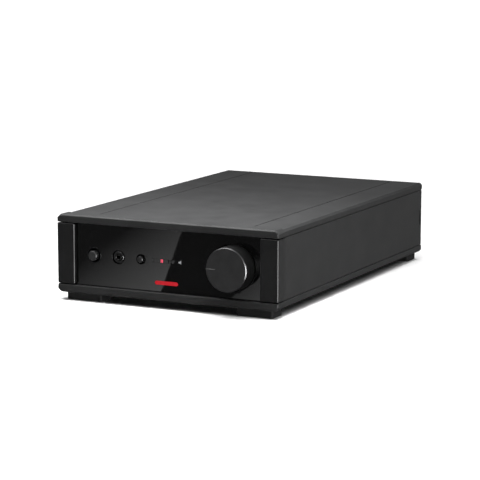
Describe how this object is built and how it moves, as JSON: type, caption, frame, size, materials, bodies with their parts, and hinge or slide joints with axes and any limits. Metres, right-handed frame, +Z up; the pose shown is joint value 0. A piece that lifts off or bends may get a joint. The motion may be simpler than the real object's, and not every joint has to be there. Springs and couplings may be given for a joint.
{
  "type": "desktop DAC",
  "caption": "Half-width desktop digital-to-analogue converter with headphone socket, turned volume knob, push buttons, input lights, rear sockets and rubber feet.",
  "frame": {"origin": "bottom centre of the whole object's box, on the plane its feet stand on", "axes": "+Z up, the front faces -Y, +X to the right seen from the front"},
  "size_m": [0.216, 0.3602, 0.0772],
  "materials": {
    "case_metal": "satin charcoal",
    "frame_black": "satin black",
    "fascia_gloss": "gloss black, dark tinted",
    "subframe_steel": "matt black",
    "screw_steel": "zinc plated",
    "foot_rubber": "matt",
    "knob_metal": "black anodised",
    "pointer_white": "painted",
    "shaft_metal": "satin",
    "button_metal": "black anodised",
    "ring_metal": "black anodised",
    "switch_plastic": "matt black",
    "board_green": "solder mask",
    "light_clear": "smoked, unlit",
    "light_red": "lit",
    "light_white": "lit",
    "led_clear": "clear",
    "infrared_black": "dark",
    "ribbon_grey": "matt",
    "winding_varnish": "varnished tape over copper",
    "inlet_plastic": "matt black",
    "contact_metal": "nickel plated",
    "fuse_glass": "nickel plated caps on a glass tube",
    "wire_brown": "matt",
    "phono_gold": "gold plated",
    "usb_shell": "nickel plated",
    "optical_plastic": "matt black",
    "capacitor_sleeve": "sleeved",
    "film_red": "dipped",
    "chip_black": "matt",
    "heatsink_metal": "satin"
  },
  "bodies": {
    "case": {"lid": "case_metal", "base_tray": "case_metal", "left_side": "case_metal", "right_side": "case_metal", "left_pillar": "frame_black", "right_pillar": "frame_black", "fascia": "fascia_gloss", "front_subframe": "subframe_steel", "rear_panel": "case_metal", "lid_screws": "screw_steel", "rear_panel_screws": "screw_steel", "foot_front_left": "foot_rubber", "foot_front_right": "foot_rubber", "foot_rear_left": "foot_rubber", "foot_rear_right": "foot_rubber", "foot_screws": "screw_steel", "volume_control": "shaft_metal", "volume_control_nut": "screw_steel", "power_button_ring": "ring_metal", "power_switch": "switch_plastic", "source_switch": "switch_plastic", "headphone_jack": "switch_plastic", "headphone_nut": "screw_steel", "front_board": "board_green", "input_light_1": "light_clear", "input_light_2": "light_red", "input_light_3": "light_clear", "mute_light": "light_white", "status_light": "light_red", "indicator_leds": "led_clear", "remote_receiver": "infrared_black", "ribbon_cable": "ribbon_grey", "main_board": "board_green", "board_standoffs": "screw_steel", "board_screws": "screw_steel", "transformer": "winding_varnish", "transformer_pads": "foot_rubber", "transformer_bolt": "screw_steel", "mains_inlet": "inlet_plastic", "inlet_pins": "contact_metal", "mains_wires": "wire_brown", "left_output": "phono_gold", "right_output": "phono_gold", "coaxial_input": "phono_gold", "usb_socket": "usb_shell", "optical_input": "optical_plastic", "reservoir_capacitors": "capacitor_sleeve", "film_capacitors": "film_red", "rectifier": "chip_black", "regulators": "heatsink_metal", "chips": "chip_black", "output_relay": "switch_plastic"},
    "volume": {"volume_knob": "knob_metal", "knob_pointer": "pointer_white", "volume_shaft": "shaft_metal"},
    "power": {"power_button": "button_metal"},
    "source": {"source_button": "button_metal"},
    "drawer": {"fuse_drawer": "inlet_plastic", "fuse": "fuse_glass"},
    "shutter": {"optical_shutter": "optical_plastic"}
  },
  "joints": [
    {"name": "volume_turn", "type": "hinge", "parent": "case", "child": "volume", "pos_m": [0.0645, -0.1679, 0.0419], "axis": [0, 1, 0], "range_deg": [-60, 240]},
    {"name": "power_press", "type": "slide", "parent": "case", "child": "power", "axis": [0, 1, 0], "range_m": [0, 0.003], "stiffness_N_per_m": 600, "springref_m": -0.001},
    {"name": "source_press", "type": "slide", "parent": "case", "child": "source", "axis": [0, 1, 0], "range_m": [0, 0.0008], "stiffness_N_per_m": 1200, "springref_m": -0.0005},
    {"name": "fuse_drawer_slide", "type": "slide", "parent": "case", "child": "drawer", "axis": [0, 1, 0], "range_m": [0, 0.02]},
    {"name": "shutter_swing", "type": "hinge", "parent": "case", "child": "shutter", "pos_m": [-0.016, 0.1705, 0.0329], "axis": [-1, 0, 0], "range_deg": [0, 75], "stiffness_Nm_per_rad": 0.0006, "springref_deg": -17.19}
  ]
}
